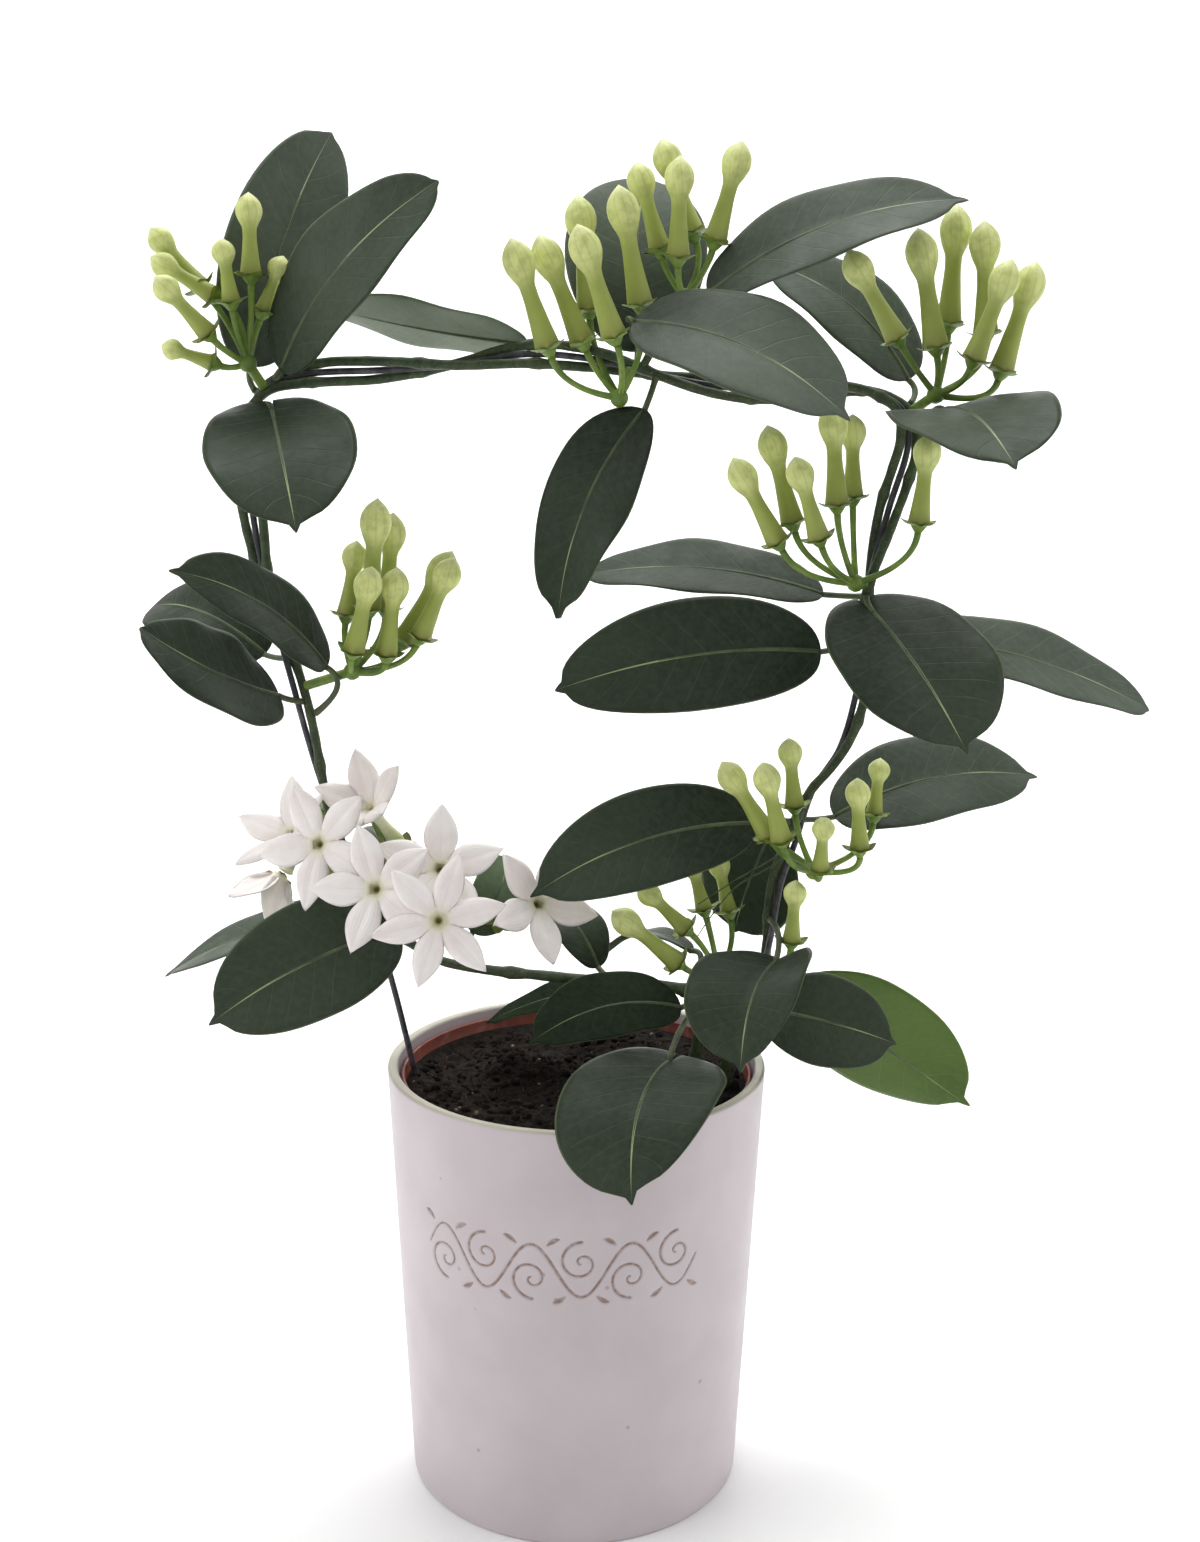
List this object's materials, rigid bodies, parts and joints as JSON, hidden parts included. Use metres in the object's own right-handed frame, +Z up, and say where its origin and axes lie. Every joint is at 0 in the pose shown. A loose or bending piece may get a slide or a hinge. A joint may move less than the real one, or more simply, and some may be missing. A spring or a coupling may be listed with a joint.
{
  "type": "potted madagascar jasmine",
  "caption": "Flowering Madagascar jasmine (Stephanotis) twined on an upright wire hoop, in a nursery pot of peat inside a tapered ceramic cover pot.",
  "frame": {"origin": "centre of the cover pot's flat underside", "axes": "+Z up out of the pot; the hoop stands in the XZ plane; -Y is the front, where the open flowers face"},
  "size_m": [0.3848, 0.1725, 0.5102],
  "materials": {
    "pot": "matt pale lilac-white glaze",
    "nursery": "brown-red thermoformed plastic",
    "soil": "dark moist peat with fibres",
    "wire": "plastic-coated dark wire",
    "stem": "green to brown young bark",
    "leaf": "leathery dark green with a pale midrib",
    "bud": "waxy yellow-green",
    "petal": "waxy white"
  },
  "bodies": {
    "root": {"cover_pot": "pot", "nursery_pot": "nursery", "soil": "soil", "wire_hoop": "wire", "stem_left": "stem", "stem_right": "stem", "leaf_top_left_back": "leaf", "leaf_top_left_front": "leaf", "leaf_top_left_hanging": "leaf", "leaf_top_left_inner": "leaf", "leaf_left_upper": "leaf", "leaf_left_back": "leaf", "leaf_left_lower": "leaf", "leaf_low_left_front": "leaf", "leaf_low_left_back": "leaf", "leaf_flowers_right": "leaf", "leaf_flowers_back": "leaf", "leaf_small_middle": "leaf", "leaf_over_soil_front": "leaf", "leaf_over_soil_back": "leaf", "leaf_over_rim": "leaf", "leaf_rim_folded": "leaf", "leaf_right_dark": "leaf", "leaf_right_bright": "leaf", "leaf_mid_left_front": "leaf", "leaf_mid_left_back": "leaf", "leaf_low_right": "leaf", "leaf_mid_right_round": "leaf", "leaf_mid_right_far": "leaf", "leaf_centre_lower": "leaf", "leaf_centre_upper": "leaf", "leaf_centre_hanging": "leaf", "leaf_top_front": "leaf", "leaf_top_right": "leaf", "leaf_top_right_back": "leaf", "leaf_top_back_round": "leaf", "leaf_right_corner": "leaf", "leaf_edge_on": "leaf", "buds_top_left": "bud", "buds_top_middle": "bud", "buds_top_back": "bud", "buds_top_right": "bud", "buds_right": "bud", "buds_low_right": "bud", "buds_low_middle": "bud", "buds_left": "bud", "flower_stalks": "stem", "flower_top": "petal", "flower_left": "petal", "flower_left_back": "petal", "flower_drooping": "petal", "flower_centre": "petal", "flower_upper_right": "petal", "flower_front": "petal", "flower_right": "petal"}
  },
  "joints": []
}
